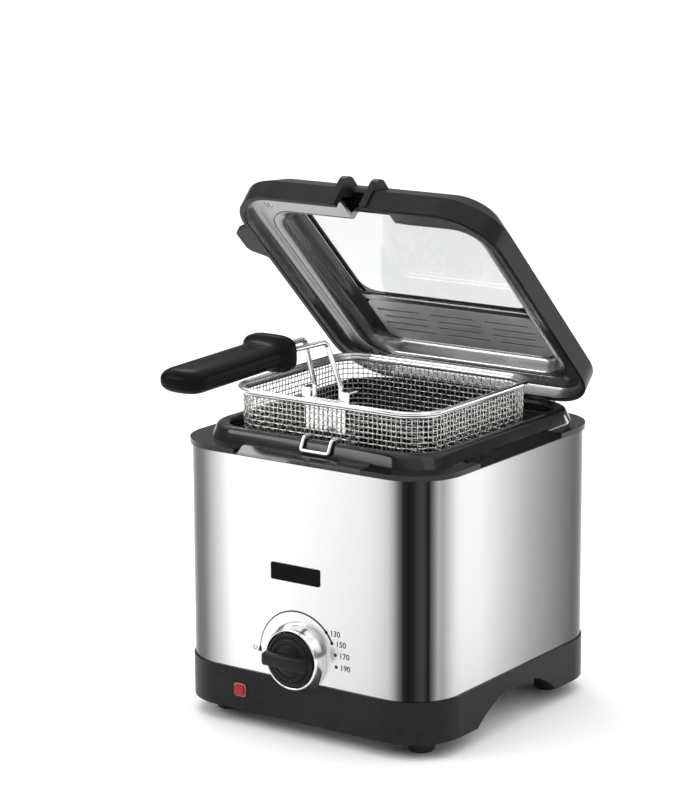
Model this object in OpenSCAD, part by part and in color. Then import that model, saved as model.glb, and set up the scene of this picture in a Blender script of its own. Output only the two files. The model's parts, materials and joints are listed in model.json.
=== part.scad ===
// Compact deep fryer: steel body on a black base, fixed oil pot, lifting wire basket and a hinged lid
// with a viewing window. Millimetres, +Z up. Origin: centre of the four feet, on the surface they stand on.

/* [Body] */
// Width of the steel body, left to right
body_w = 205; // [200:1:215]
// Depth of the steel body, front to back
body_d = 212; // [208:1:222]
// Corner radius of the steel body
body_r = 35; // [32:1:38]
// Height of the underside of the base above the table
foot_h = 11; // [9:1:12]
// Height of the seam between the base and the steel body
base_top = 39.5; // [38:0.5:41]
// Height of the top edge of the steel body
steel_top = 185; // [180:1:190]
// Thickness of the steel sheet
sheet_t = 0.8; // [0.6:0.1:1]

/* [Feet] */
// Distance between foot centres, both ways
foot_pitch = 156; // [150:1:160]
// Diameter of a rubber foot
foot_d = 18; // [16:1:20]

/* [Oil pot and rim] */
// Inside width of the oil pot
pot_w = 164; // [163:0.5:165]
// Inside depth of the oil pot
pot_d = 175; // [174:0.5:176]
// Height of the pot's floor above the table
pot_floor = 80; // [78:1:84]
// How far the pot and rim sit behind the body's centre
pot_y = 3.5; // [3:0.5:4]
// Height of the rim's crest above the seam with the steel
rim_h = 13; // [12:0.5:13]

/* [Basket] */
// Outside width of the basket's rim wire
basket_w = 160.6; // [158:0.2:161]
// Outside depth of the basket's rim wire
basket_d = 144; // [140:0.5:146]
// Height of the basket from its floor to its rim
basket_h = 74; // [70:1:76]
// How far the basket stands above its frying position
basket_raised = 58; // [56:1:58]
// Diameter of the rim and handle wire
wire_d = 3.4; // [3:0.2:3.4]

/* [Basket handle] */
// Length of the grip
grip_l = 100; // [96:1:110]
// Width of the grip
grip_w = 31.5; // [30:0.5:33]
// Thickness of the grip
grip_t = 15.5; // [15:0.5:17]
// Width of the guard at the grip's root
guard_w = 38.4; // [36:0.2:40]
// Thickness of the guard at the grip's root
guard_t = 23; // [21:0.5:24]
// Downward tilt of the grip, in degrees
grip_tilt = 1.5; // [0:0.5:2]
// Distance between the two handle wires where they enter the grip
wire_gap = 12.6; // [12:0.2:13]

/* [Lid] */
// How far the lid stands open, in degrees
lid_open = 44.2; // [40:0.1:50]
// Height of the lid's upright side wall
lid_wall_h = 14; // [13:0.5:15]
// Height of the lid from its lower edge to its flat top
lid_h = 27; // [26:0.5:28]
// Thickness of the window glass
glass_t = 3; // [2.5:0.1:3]
// Width of the window opening
window_w = 136; // [128:1:138]
// Depth of the window opening
window_d = 106; // [100:1:108]

/* [Control] */
// Height of the knob's axis above the table
knob_z = 56; // [55:1:60]
// Radius of the knob's disc
knob_r = 18.2; // [17:0.2:18.2]
// Radius of the thermostat's shaft
shaft_r = 3; // [2.5:0.1:3.2]

/* [Fits] */
// Radial clearance of a turning fit
run_gap = 0.05; // [0.02:0.01:0.08]
// Gap between parts that move past each other
move_gap = 0.5; // [0.4:0.1:0.6]

/* [Hidden] */
$fn = 48;
eps = 0.01;
black = "#1b1b1d";
grey_black = "#2c2c2f";
steel = "#c9cbce";
bright = "#e3e4e6";

// base
skirt_w = body_w + 2;
skirt_d = body_d + 2;
skirt_r = body_r + 1;
skirt_t = 2.5;
wrap_bottom = base_top - 2.5;
arch_half = 50;
arch_top = 29;
plate_z = 31;
front_y = -body_d / 2;
back_y = body_d / 2;
gland_x = 50;
gland_z = 25;
lamp_x = -46.7;
lamp_z = 25;
badge_x = -1.5;
badge_z = 111.5;

// collar and rim
collar_w = body_w + 3.5;
collar_d = body_d + 2.3;
collar_r = body_r + 1;
ledge_t = 3.5;
ledge_z = steel_top + ledge_t;
facet_half = 50;
facet_low = 0.6;
facet_high = 5;
rim_top = steel_top + rim_h;
rim_slope = 3.7;
rim_w = 186.4;
rim_d = 196;
rim_r = 29;
rim_y = pot_y + 1;
pot_r = 24;
pot_t = 1.5;

// drain hook, a little to the right of the middle
hook_x = 6;

// lid, drawn closed
hinge_y = back_y + 6;
hinge_z = steel_top + 9;
lid_bottom = ledge_z + 1.8;
wall_top = lid_bottom + lid_wall_h;
lid_top = lid_bottom + lid_h;
lid_w = body_w;
lid_d = 214.1;
lid_y = -1.25;
lid_r = 37.5;
lid_t = 3;
hip = 14.8;
top_t = 1.8;
glass_z = lid_top - top_t - glass_t;
lip_t = 1.8;
band_z = rim_top + 1;
dish_w = 172;
dish_d = 169;
dish_r = 22;
dish_y = pot_y;
well_w = window_w + 4;
well_d = 160;
well_r = 15;
well_y = 4;
window_y = -21;
glass_w = window_w + 8;
glass_d = window_d + 8;
vent_y = 60;
vent_w = 136;
vent_d = 46;
notch_half = 9.8;
slot_h = 16.5;
fin_t = 5;
fin_r = 7;
fin_x = notch_half + fin_t / 2;
fin_z = wall_top + 4.5;
hinge_x = 46;
knuckle_w = 12;
lug_w = 6;
hinge_pin_r = 2;
knuckle_r = 5.5;

// heating element, below the pot's floor
element_r = 3.5;
element_z = pot_floor - 5.8;
leg_x = 20;
leg_y = 52;
shield_z = 60;
lead_z = plate_z + 7.2;
bulb_z = pot_floor - 5.5;

// basket
wire_r = wire_d / 2;
basket_y = -78.8 + basket_d / 2;
basket_low = pot_floor + 10;
basket_floor = basket_low + basket_raised;
basket_rim_z = basket_floor + basket_h - wire_r;
mesh_t = 1.2;
mesh_w = basket_w - 2 * wire_d;
mesh_d = basket_d - 2 * wire_d;
mesh_r = 22;
flap_y = wire_d + mesh_t + 0.1;
bracket_t = 1.4;
bracket_y = basket_y - basket_d / 2;
grip_y = -129.5;
grip_z = 263;
bend_x = 8.6;
bend_y = -84.4;
bend_z = 262.5;
foot_x = 10.5;
grip_screw_at = [52, 84];

// posts that tie the base, steel and collar together
posts = [[-84, -87], [84, -87], [-84, 90], [84, 90]];
corners = [[-1, -1], [1, -1], [-1, 1], [1, 1]];
lid_screw_at = [[-79, -87.5], [79, -87.5], [-79, 88.5], [79, 88.5]];

// rounded rectangle, drawn from true squares and circles
module rounded(w, d, r) {
    square([w - 2 * r, d], center = true);
    square([w, d - 2 * r], center = true);
    for (s = corners) translate([s[0] * (w / 2 - r), s[1] * (d / 2 - r)]) circle(r);
}

module slab(w, d, r, z0, z1) {
    translate([0, 0, z0]) linear_extrude(z1 - z0) rounded(w, d, r);
}

module ring(w, d, r, t, z0, z1) {
    translate([0, 0, z0]) linear_extrude(z1 - z0) difference() {
        rounded(w, d, r);
        rounded(w - 2 * t, d - 2 * t, r - t);
    }
}

// straight-sided loft between two rounded rectangles
module loft(w0, d0, r0, z0, w1, d1, r1, z1) {
    hull() {
        translate([0, 0, z0]) linear_extrude(eps) rounded(w0, d0, r0, $fn = 32);
        translate([0, 0, z1 - eps]) linear_extrude(eps) rounded(w1, d1, r1, $fn = 32);
    }
}

// an outline in the Y-Z plane, carried along X
module along_x(x0, x1) {
    translate([x0, 0, 0]) rotate([90, 0, 90]) linear_extrude(x1 - x0) children();
}

// a turned shape whose axis points forwards, with its base at y0
module forwards(x, y0, z) {
    translate([x, y0, z]) rotate([90, 0, 0]) children();
}

function unit(v) = v / norm(v);
function along(p, i) = unit(p[i + 1] - p[i]);

// points of the arc, of radius bend, that rounds corner i of a path
function corner_arc(p, i, bend, steps) =
    let (u = along(p, i - 1), v = along(p, i), a = acos(u * v), n = unit(cross(u, v)), m = cross(n, u),
         c = p[i] - u * bend * tan(a / 2) + m * bend)
    [for (k = [0 : steps]) c - m * bend * cos(a * k / steps) + u * bend * sin(a * k / steps)];

function rounded_path(p, bend, steps) =
    [p[0], for (i = [1 : len(p) - 2]) each corner_arc(p, i, bend, steps), p[len(p) - 1]];

function tangents(q) = [for (i = [0 : len(q) - 1])
    unit(q[min(i + 1, len(q) - 1)] - q[max(i - 1, 0)])];

// a direction square to each tangent, carried along the path without twisting
function carried(t, first) = [for (i = 0, s = first; i < len(t);
    i = i + 1, s = i < len(t) ? unit(s - t[i] * (s * t[i])) : s) s];

// a round wire swept through a list of corner points
module wire(p, r, bend, sides = 12, steps = 4) {
    q = rounded_path(p, bend, steps);
    t = tangents(q);
    first = unit(cross(t[0], abs(t[0][0]) < 0.8 ? [1, 0, 0] : [0, 1, 0]));
    s = carried(t, first);
    n = sides;
    polyhedron(
        points = [for (i = [0 : len(q) - 1], k = [0 : n - 1])
            q[i] + r * (cos(360 * k / n) * s[i] + sin(360 * k / n) * cross(t[i], s[i]))],
        faces = [
            [for (k = [0 : n - 1]) k],
            for (i = [0 : len(q) - 2], k = [0 : n - 1])
                [i * n + k, (i + 1) * n + k, (i + 1) * n + (k + 1) % n, i * n + (k + 1) % n],
            [for (k = [n - 1 : -1 : 0]) (len(q) - 1) * n + k]]);
}

// a closed wire loop on a rounded rectangle
module wire_loop(w, d, bend, r) {
    for (s = corners) {
        a = s[0] > 0 ? (s[1] > 0 ? 0 : 270) : (s[1] > 0 ? 90 : 180);
        translate([s[0] * (w / 2 - bend), s[1] * (d / 2 - bend), 0])
            rotate([0, 0, a]) rotate_extrude(angle = 90) translate([bend, 0]) circle(r);
    }
    for (s = [-1, 1]) {
        translate([-w / 2 + bend, s * d / 2, 0]) rotate([0, 90, 0]) cylinder(h = w - 2 * bend, r = r);
        translate([s * w / 2, d / 2 - bend, 0]) rotate([90, 0, 0]) cylinder(h = d - 2 * bend, r = r);
    }
}

// everything on the lid is drawn shut and swung open about the hinge
module swung() {
    translate([0, hinge_y, hinge_z]) rotate([-lid_open, 0, 0]) translate([0, -hinge_y, -hinge_z]) children();
}

module at_feet() {
    for (s = corners) translate([s[0] * foot_pitch / 2, s[1] * foot_pitch / 2, 0]) children();
}

// ---- base ----

module arch_outline() {
    rise = arch_top - foot_h;
    r = (arch_half * arch_half + rise * rise) / (2 * rise);
    translate([0, arch_top - r]) circle(r, $fn = 96);
}

module base_skirt() {
    color(black) difference() {
        union() {
            ring(skirt_w, skirt_d, skirt_r, skirt_t, foot_h, wrap_bottom);
            ring(skirt_w, skirt_d, skirt_r, 0.9, wrap_bottom, base_top);
            // shelf that carries the steel wrap and the bottom plate
            ring(skirt_w - 2, skirt_d - 2, skirt_r - 1, 8, plate_z + 1.2, wrap_bottom);
            // closed corners that the feet screw to
            intersection() {
                slab(skirt_w - 2, skirt_d - 2, skirt_r - 1, foot_h, foot_h + 3);
                for (s = corners) translate([s[0] * 81 - 26, s[1] * 86 - 26, foot_h]) cube([52, 52, 3]);
            }
            at_feet() translate([0, 0, foot_h]) cylinder(h = 18, r = 5);
        }
        along_x(-skirt_w, skirt_w) arch_outline();
        at_feet() translate([0, 0, foot_h - 1]) cylinder(h = 16, r = 1.9);
        forwards(0, front_y, knob_z) cylinder(h = 3, r = 23.1);
        forwards(lamp_x, front_y + 8, lamp_z) cylinder(h = 12, r = 3.6);
        forwards(gland_x, back_y + 4, gland_z) cylinder(h = 10, r = 6.1);
    }
}

module bottom_plate() {
    color(steel) difference() {
        slab(skirt_w - 2 * skirt_t - 0.4, skirt_d - 2 * skirt_t - 0.4, skirt_r - skirt_t,
             plate_z, plate_z + 1.2);
        for (x = [-60 : 15 : 60], y = [-30, 30])
            translate([x, y, plate_z - 1]) linear_extrude(4) rounded(5, 40, 2.4);
        for (p = posts) translate([p[0], p[1], plate_z - 1]) cylinder(h = 4, r = 2.2);
        // way for the lamp's lead
        translate([lamp_x + 1, front_y + 27.6, plate_z - 1]) cylinder(h = 4, r = 4);
    }
}

module rubber_feet() {
    color(grey_black) at_feet() difference() {
        union() {
            cylinder(h = 2, r1 = foot_d / 2 - 1, r2 = foot_d / 2);
            translate([0, 0, 2]) cylinder(h = foot_h - 2, r = foot_d / 2);
        }
        translate([0, 0, -1]) cylinder(h = 6, r = 4);
        translate([0, 0, 4]) cylinder(h = 4, r = 3.6);
        cylinder(h = foot_h + 1, r = 1.9);
    }
}

module foot_screws() {
    color(steel) at_feet() difference() {
        union() {
            translate([0, 0, 6]) cylinder(h = 2, r = 3.4);
            translate([0, 0, 7]) cylinder(h = 17, r = 1.8);
        }
        translate([-2.2, -0.4, 5]) cube([4.4, 0.8, 1.8]);
        translate([-0.4, -2.2, 5]) cube([0.8, 4.4, 1.8]);
    }
}

// ---- body ----

module steel_wrap() {
    color(bright) difference() {
        ring(body_w, body_d, body_r, sheet_t, wrap_bottom, steel_top + 1);
        forwards(0, front_y + 5, knob_z) cylinder(h = 10, r = 6);
        for (x = [-14, 14]) forwards(x, front_y + 5, knob_z) cylinder(h = 10, r = 1.6);
    }
}

module tie_bolts() {
    color(steel) for (p = posts) translate([p[0], p[1], 0]) {
        translate([0, 0, plate_z - 2.6]) cylinder(h = 2.6, r = 3.8);
        translate([0, 0, plate_z - 1]) cylinder(h = 80, r = 2);
    }
}

module collar_facet(edge, inner, half) {
    along_x(-half, half) polygon([
        [-edge, steel_top], [-edge, steel_top + facet_low],
        [-inner, steel_top + facet_high], [-inner, steel_top]]);
}

module hinge_lugs() {
    for (s = [-1, 1], i = [-1, 1]) {
        x = s * hinge_x + i * (knuckle_w / 2 + move_gap + lug_w / 2);
        along_x(x - lug_w / 2, x + lug_w / 2) difference() {
            union() {
                translate([hinge_y, hinge_z]) circle(knuckle_r);
                polygon([
                    [back_y - 1, steel_top + 1.2], [back_y - 1, ledge_z - 0.3],
                    [hinge_y - 4.2, hinge_z - 3.8], [hinge_y + 3.4, hinge_z - 4.3],
                    [hinge_y, steel_top], [back_y + 0.2, steel_top], [back_y + 0.2, steel_top + 1.2]]);
            }
            translate([hinge_y, hinge_z]) circle(hinge_pin_r + 0.02);
        }
    }
}

// clearance over the steel's top edge
module steel_groove() {
    ring(body_w + 0.2, body_d + 0.2, body_r + 0.1, sheet_t + 0.2, steel_top - 1, steel_top + 1.1);
}

module top_collar() {
    rim_front = rim_d / 2 - rim_y + 0.1;
    rim_side = rim_w / 2 + 0.1;
    facet_z = steel_top + facet_low / 2;
    color(black) union() {
        difference() {
            slab(collar_w, collar_d, collar_r, steel_top, ledge_z);
            translate([0, pot_y, steel_top - 1])
                linear_extrude(ledge_t + 2) rounded(pot_w + 6, pot_d + 6, pot_r + 3);
            steel_groove();
            for (s = [-1, 1]) {
                translate([-facet_half, s > 0 ? rim_front + 2 * rim_y : -rim_front - 20, facet_z])
                    cube([2 * facet_half, 20, 10]);
                translate([s > 0 ? rim_side : -rim_side - 20, -facet_half, facet_z])
                    cube([20, 2 * facet_half, 10]);
            }
        }
        difference() {
            union() {
                collar_facet(collar_d / 2, rim_front - eps, facet_half);
                rotate([0, 0, 180]) collar_facet(collar_d / 2, rim_front + 2 * rim_y - eps, facet_half);
                for (a = [90, 270]) rotate([0, 0, a]) collar_facet(collar_w / 2, rim_side - eps, facet_half);
            }
            steel_groove();
        }
        // flange that keeps the steel from springing inwards
        ring(body_w - 2 * sheet_t - 0.4, body_d - 2 * sheet_t - 0.4, body_r - 1, 2,
             steel_top - 6, steel_top + eps);
        for (p = posts) translate([p[0], p[1], steel_top - 85]) difference() {
            cylinder(h = 86, r = 4.4);
            translate([0, 0, -1]) cylinder(h = 20, r = 2.02);
        }
        hinge_lugs();
    }
}

module rim_ring() {
    crest_w = rim_w - 2 * rim_slope;
    crest_d = rim_d - 2 * rim_slope;
    crest_r = rim_r - rim_slope;
    color(black) translate([0, rim_y, 0]) difference() {
        union() {
            loft(rim_w, rim_d, rim_r, ledge_z, crest_w, crest_d, crest_r, rim_top - 1);
            loft(crest_w, crest_d, crest_r, rim_top - 1 - eps,
                 crest_w - 2, crest_d - 2, crest_r - 1, rim_top);
        }
        translate([0, pot_y - rim_y, ledge_z - 1]) linear_extrude(rim_h) rounded(pot_w, pot_d, pot_r);
        // seat for the pot's flange
        translate([0, pot_y - rim_y, ledge_z - 1]) linear_extrude(3.2)
            rounded(pot_w + 8.4, pot_d + 8.4, pot_r + 4.2);
    }
}

module oil_pot() {
    color(grey_black) translate([0, pot_y, 0]) union() {
        ring(pot_w + 2 * pot_t, pot_d + 2 * pot_t, pot_r + pot_t, pot_t, pot_floor - 2, ledge_z + 2);
        slab(pot_w + pot_t, pot_d + pot_t, pot_r, pot_floor - 2, pot_floor);
        ring(pot_w + 8, pot_d + 8, pot_r + 4, 3, ledge_z + 0.6, ledge_z + 2);
    }
}

module drain_hook() {
    half_w = 10.9;
    r = 1.3;
    y_in = pot_y - pot_d / 2 + r + 0.3;
    y_out = rim_y - rim_d / 2 - 1.2;
    crest = rim_top + r + 0.3;
    side = [[y_in, rim_top - 7], [y_in, crest], [-90.8, crest], [y_out, ledge_z + 3]];
    other_side = [for (i = [len(side) - 1 : -1 : 0]) [half_w, side[i][0], side[i][1]]];
    color(steel) translate([hook_x, 0, 0])
        wire(concat([for (p = side) [-half_w, p[0], p[1]]], other_side), r, 1.6);
}

// ---- heating and control ----

module heating_element() {
    color(steel) translate([0, pot_y, 0]) {
        translate([0, 0, element_z]) wire_loop(104, 112, 40, element_r);
        for (x = [-leg_x, leg_x]) {
            translate([x, leg_y, element_z]) sphere(element_r);
            translate([x, leg_y, 48]) cylinder(h = element_z - 48, r = element_r);
            translate([x, leg_y, 40]) cylinder(h = 9, r = 1.2);
        }
    }
}

module element_clamps() {
    color(steel) for (x = [-46, 46]) translate([x, pot_y, 0]) {
        translate([-5, -40, pot_floor - 11.2]) cube([10, 80, 1.5]);
        for (y = [-34, 34]) translate([x > 0 ? -14 : 14, y, 0]) {
            translate([0, 0, pot_floor - 13]) cylinder(h = 11, r = 2);
            translate([x > 0 ? -4 : -12, -5, pot_floor - 11.2]) cube([16, 10, 1.5]);
        }
    }
}

module heat_shield() {
    y = 10;
    color(steel) translate([0, y, shield_z]) difference() {
        union() {
            slab(168, 150, 20, 0, sheet_t);
            ring(168, 150, 20, sheet_t, 0, 7);
        }
        for (x = [-leg_x, leg_x]) translate([x, leg_y + pot_y - y, -1]) cylinder(h = 4, r = 6);
        translate([0, -52, -1]) cylinder(h = 4, r = 3);
        for (x = [-30, 30]) translate([x, 30, -1]) cylinder(h = 4, r = 2);
        translate([0, 12, -1]) cylinder(h = 4, r = 8);
    }
}

module thermal_cutout() {
    color("#d8d4c8") translate([0, 22, 0]) {
        translate([-7, -7, pot_floor - 9]) cube([14, 14, 7]);
        translate([-13, -3, pot_floor - 3.2]) cube([26, 6, 1.2]);
        for (x = [-4, 4]) translate([x - 1.5, -0.4, pot_floor - 15]) cube([3, 0.8, 6.5]);
    }
}

module thermostat_body() {
    color("#e9e4d4") difference() {
        union() {
            translate([-17, front_y + 5.2, knob_z - 16]) cube([34, 22, 32]);
            for (x = [-10, 10], z = [-8, 8])
                translate([x - 3, front_y + 27, knob_z + z - 0.4]) cube([6, 8, 0.8]);
        }
        forwards(0, front_y + 20, knob_z) cylinder(h = 40, r = shaft_r + run_gap);
    }
}

module thermostat_bracket() {
    color(steel) difference() {
        translate([-24, front_y + 4, knob_z - 16]) cube([48, 1.2, 36]);
        forwards(0, front_y + 10, knob_z) cylinder(h = 20, r = 5);
        for (x = [-14, 14]) forwards(x, front_y + 10, knob_z) cylinder(h = 20, r = 1.6);
    }
}

module capillary_tube() {
    // passes under the element and up into its middle
    low = element_z - element_r - 1.7;
    color("#b87333") {
        wire([[0, front_y + 22, knob_z + 15.9], [0, front_y + 22, low + 7], [0, front_y + 28, low + 7],
              [0, front_y + 36, low], [0, -49, low], [0, -45, bulb_z], [0, -40, bulb_z]], 0.9, 1.6, 8);
        translate([0, -14, bulb_z]) rotate([90, 0, 0]) cylinder(h = 30, r = 2.6);
    }
}

module terminal_block() {
    color("#e6e6e2") translate([gland_x, 82, plate_z + 1.2]) difference() {
        translate([-14, -8, 0]) cube([28, 16, 12]);
        for (x = [-8, 0, 8]) {
            translate([x, 0, 6]) rotate([90, 0, 0]) cylinder(h = 20, r = 1.6, center = true);
            translate([x, 0, 9]) cylinder(h = 5, r = 1.5);
        }
    }
}

module wiring() {
    z = lead_z;
    color("#7a3b1e") {
        wire([[gland_x - 8, 74, z], [gland_x - 8, 40, z], [-10, -60, z + 1],
              [-10, -70.5, knob_z - 8]], 1.2, 5, 8);
        wire([[gland_x, 74, z], [gland_x - 6, 66, z], [-12, 68, z], [-20, 60, z + 1]], 1.2, 5, 8);
        wire([[20, 50, z], [12, 44, z + 4], [4, 28, z + 8], [4, 22, pot_floor - 15]], 1.2, 5, 8);
        wire([[-4, 22, pot_floor - 15], [-4, 10, z + 6], [10, -58, z + 4],
              [10, -70.5, knob_z - 8]], 1.2, 5, 8);
        wire([[lamp_x, front_y + 19.2, lamp_z], [lamp_x + 2, -70, z], [-22, -62, knob_z],
              [-10, -70.5, knob_z + 8]], 0.9, 4, 8);
    }
}

module cord_gland() {
    color(black) forwards(gland_x, back_y + 13, gland_z) difference() {
        union() {
            translate([0, 0, 9]) cylinder(h = 12, r = 6);
            translate([0, 0, 9.5]) cylinder(h = 2.4, r = 8);
            cylinder(h = 10, r1 = 4.6, r2 = 6);
        }
        translate([0, 0, -1]) cylinder(h = 30, r = 3.4);
    }
}

module knob_bezel() {
    color(bright) forwards(0, front_y, knob_z) rotate_extrude() polygon([
        [6.2, 0], [22.9, 0], [22.9, 2.2], [22, 4.5], [20.6, 8.2], [20, 9], [19.2, 9],
        [knob_r + move_gap, 8.2], [knob_r + move_gap, 1.4], [6.2, 1.4]]);
}

module lamp_bezel() {
    color("#b9a9a4") forwards(lamp_x, front_y - 1, lamp_z) linear_extrude(0.9) difference() {
        rounded(9.6, 9, 2);
        rounded(7.6, 7, 1.4);
    }
}

module lamp_lens() {
    color("#d01818") forwards(lamp_x, front_y - 1, lamp_z) {
        linear_extrude(2) rounded(7.5, 6.9, 1.4);
        translate([0, 0, -6]) cylinder(h = 6, r = 3.1);
    }
}

module lamp_body() {
    color("#e9e4d4") forwards(lamp_x, front_y + 5, lamp_z) difference() {
        translate([0, 0, -14]) cylinder(h = 14.6, r = 5);
        cylinder(h = 3, r = 3.2);
    }
}

module name_plate() {
    color(black) forwards(badge_x, front_y, badge_z) linear_extrude(0.8) rounded(39, 11.5, 1.2);
}

module thermostat_shaft() {
    color(steel) forwards(0, front_y + 19.6, knob_z) difference() {
        cylinder(h = 31, r = shaft_r);
        translate([shaft_r - 0.8, -5, 24]) cube([5, 10, 10]);
    }
}

module control_knob() {
    color(black) forwards(0, front_y - 2, knob_z) difference() {
        union() {
            cylinder(h = 8, r = knob_r);
            translate([0, 0, 7]) cylinder(h = 2, r = 14.5);
            translate([-17, -4.6, 7]) cube([33.5, 9.2, 8.5]);
        }
        translate([0, 0, -1]) cylinder(h = 10.4, r = shaft_r + 0.02);
        // the skirt of the knob is hollow
        translate([0, 0, -1]) difference() {
            cylinder(h = 6, r = knob_r - 2);
            cylinder(h = 6, r = 7);
        }
    }
}

module hinge_pins() {
    reach = knuckle_w / 2 + move_gap + lug_w;
    color(steel) for (s = [-1, 1]) translate([s * hinge_x - reach - 0.6, hinge_y, hinge_z])
        rotate([0, 90, 0]) cylinder(h = 2 * reach + 1.2, r = hinge_pin_r);
}

// ---- lid ----

module vent_slots(z0, z1) {
    for (row = [0 : 2], x = [-38, 0, 38])
        translate([x, vent_y - 12 + 12 * row, z0]) linear_extrude(z1 - z0) rounded(30, 4, 1.9);
}

module fins() {
    y = lid_y - lid_d / 2;
    crest_y = y + 5.3;
    front = crest_y - fin_r;
    low = lid_bottom + 0.5;
    for (s = [-1, 1]) along_x(s * fin_x - fin_t / 2, s * fin_x + fin_t / 2) union() {
        polygon([[front, low], [front, fin_z], [crest_y, fin_z + fin_r], [y + 12.5, lid_top - 2],
                 [y + 4, wall_top - 1], [y + 2, low]]);
        translate([crest_y, fin_z]) circle(fin_r);
    }
}

module grip_tab() {
    translate([-lid_w / 2, -51.5, lid_bottom + 0.4]) linear_extrude(5)
        polygon([[1, -18], [1, 18], [0, 18], [-3, 15.5], [-12, 11.5], [-14.5, 8], [-14.5, -8],
                 [-13, -10.5], [0, -18]]);
}

module lid_shell() {
    in = 2 * lid_t;
    color(black) swung() difference() {
        union() {
            translate([0, lid_y, 0]) difference() {
                union() {
                    slab(lid_w, lid_d, lid_r, lid_bottom, wall_top);
                    loft(lid_w, lid_d, lid_r, wall_top - eps,
                         lid_w - 2 * hip, lid_d - 2 * hip, lid_r - hip, lid_top);
                }
                slab(lid_w - in, lid_d - in, lid_r - lid_t, lid_bottom - 1, wall_top - 1);
                loft(lid_w - in, lid_d - in, lid_r - lid_t, wall_top - 1 - eps,
                     lid_w - 2 * hip - in, lid_d - 2 * hip - in, lid_r - hip - lid_t, lid_top - top_t);
            }
            for (p = lid_screw_at) translate([p[0], p[1], band_z + 2]) cylinder(h = 11, r = 3.6);
            fins();
            grip_tab();
        }
        translate([0, window_y, lid_top - 10]) linear_extrude(20) rounded(window_w, window_d, 12);
        vent_slots(lid_top - 10, lid_top + 1);
        for (p = lid_screw_at) translate([p[0], p[1], band_z]) cylinder(h = 8, r = 1.5);
        // way for the handle wires through the front wall
        translate([-notch_half, lid_y - lid_d / 2 - 3, lid_bottom - 1])
            cube([2 * notch_half, 12, slot_h + 1]);
    }
}

module lid_inner_frame() {
    in = lid_t + 0.3;
    t = 1.8;
    color(grey_black) swung() difference() {
        union() {
            translate([0, lid_y, 0])
                slab(lid_w - 2 * in, lid_d - 2 * in, lid_r - in, band_z, band_z + 2);
            hull() {
                translate([0, dish_y, band_z]) linear_extrude(eps)
                    rounded(dish_w + 2 * t, dish_d + 2 * t, dish_r + t, $fn = 32);
                translate([0, well_y, glass_z - 0.1]) linear_extrude(0.1)
                    rounded(well_w + 2 * t, well_d + 2 * t, well_r + t, $fn = 32);
            }
        }
        hull() {
            translate([0, dish_y, band_z - eps]) linear_extrude(eps)
                rounded(dish_w, dish_d, dish_r, $fn = 32);
            translate([0, well_y, glass_z - lip_t]) linear_extrude(eps)
                rounded(well_w, well_d, well_r, $fn = 32);
        }
        translate([0, window_y, 0]) linear_extrude(300) rounded(window_w, window_d, 12);
        translate([0, vent_y, 0]) linear_extrude(300) rounded(vent_w, vent_d, 6);
        for (p = lid_screw_at) translate([p[0], p[1], band_z - 1]) {
            cylinder(h = 4, r = 1.7);
            cylinder(h = 2.2, r = 3.2);
        }
        // way for the handle wires and the drain hook
        translate([-14, -120, band_z - 2]) cube([34, 42, 12]);
    }
}

module window_glass() {
    color([0.8, 0.86, 0.88, 0.35]) swung() translate([0, window_y, 0])
        slab(glass_w, glass_d, 14, glass_z, glass_z + glass_t);
}

module window_gasket() {
    color(grey_black) swung() translate([0, window_y, glass_z + 0.05])
        linear_extrude(glass_t - 0.1) difference() {
            rounded(glass_w + 4, glass_d + 4, 16);
            rounded(glass_w + 0.2, glass_d + 0.2, 14.1);
        }
}

module filter_cover() {
    z = glass_z - lip_t;
    color(bright) swung() difference() {
        translate([0, vent_y, 0]) union() {
            slab(vent_w - 0.4, vent_d - 0.4, 6, z + 0.2, z + 1);
            ring(vent_w - 0.4, vent_d - 0.4, 6, 0.8, z + 0.2, glass_z - 0.1);
        }
        for (row = [0 : 3], i = [-1 : 1])
            translate([i * 44 + (row % 2 == 0 ? -1.5 : 1.5), vent_y - 12 + row * 8, z - 1])
                linear_extrude(3) rounded(36, 2.6, 1.2);
    }
}

module filter_pad() {
    color("#8d8f92") swung() translate([0, vent_y, 0])
        slab(vent_w - 4, vent_d - 3, 5, glass_z - 0.6, lid_top - top_t - 0.1);
}

module lid_screws() {
    color(steel) swung() for (p = lid_screw_at) translate([p[0], p[1], band_z]) difference() {
        union() {
            translate([0, 0, 0.2]) cylinder(h = 1, r = 3);
            cylinder(h = 6, r = 1.45);
        }
        translate([-2, -0.35, -0.4]) cube([4, 0.7, 1]);
        translate([-0.35, -2, -0.4]) cube([0.7, 4, 1]);
    }
}

module hinge_knuckles() {
    y = lid_y + lid_d / 2;
    color(black) swung() for (s = [-1, 1])
        along_x(s * hinge_x - knuckle_w / 2, s * hinge_x + knuckle_w / 2) difference() {
            union() {
                translate([hinge_y, hinge_z]) circle(knuckle_r);
                polygon([[y, hinge_z - 3], [y, wall_top - 1], [y + 2, wall_top - 1],
                         [hinge_y + 3.6, hinge_z + 4.1], [hinge_y, hinge_z - 3]]);
            }
            translate([hinge_y, hinge_z]) circle(hinge_pin_r + run_gap);
        }
}

// ---- basket ----

module basket_mesh() {
    color("#b8b8b4") translate([0, basket_y, 0]) difference() {
        slab(mesh_w, mesh_d, mesh_r, basket_floor, basket_rim_z);
        slab(mesh_w - 2 * mesh_t, mesh_d - 2 * mesh_t, mesh_r - mesh_t,
             basket_floor + mesh_t, basket_rim_z + 1);
    }
}

module basket_rim() {
    color(bright) translate([0, basket_y, basket_rim_z])
        wire_loop(basket_w - wire_d, basket_d - wire_d, mesh_r + wire_r, wire_r);
}

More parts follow.
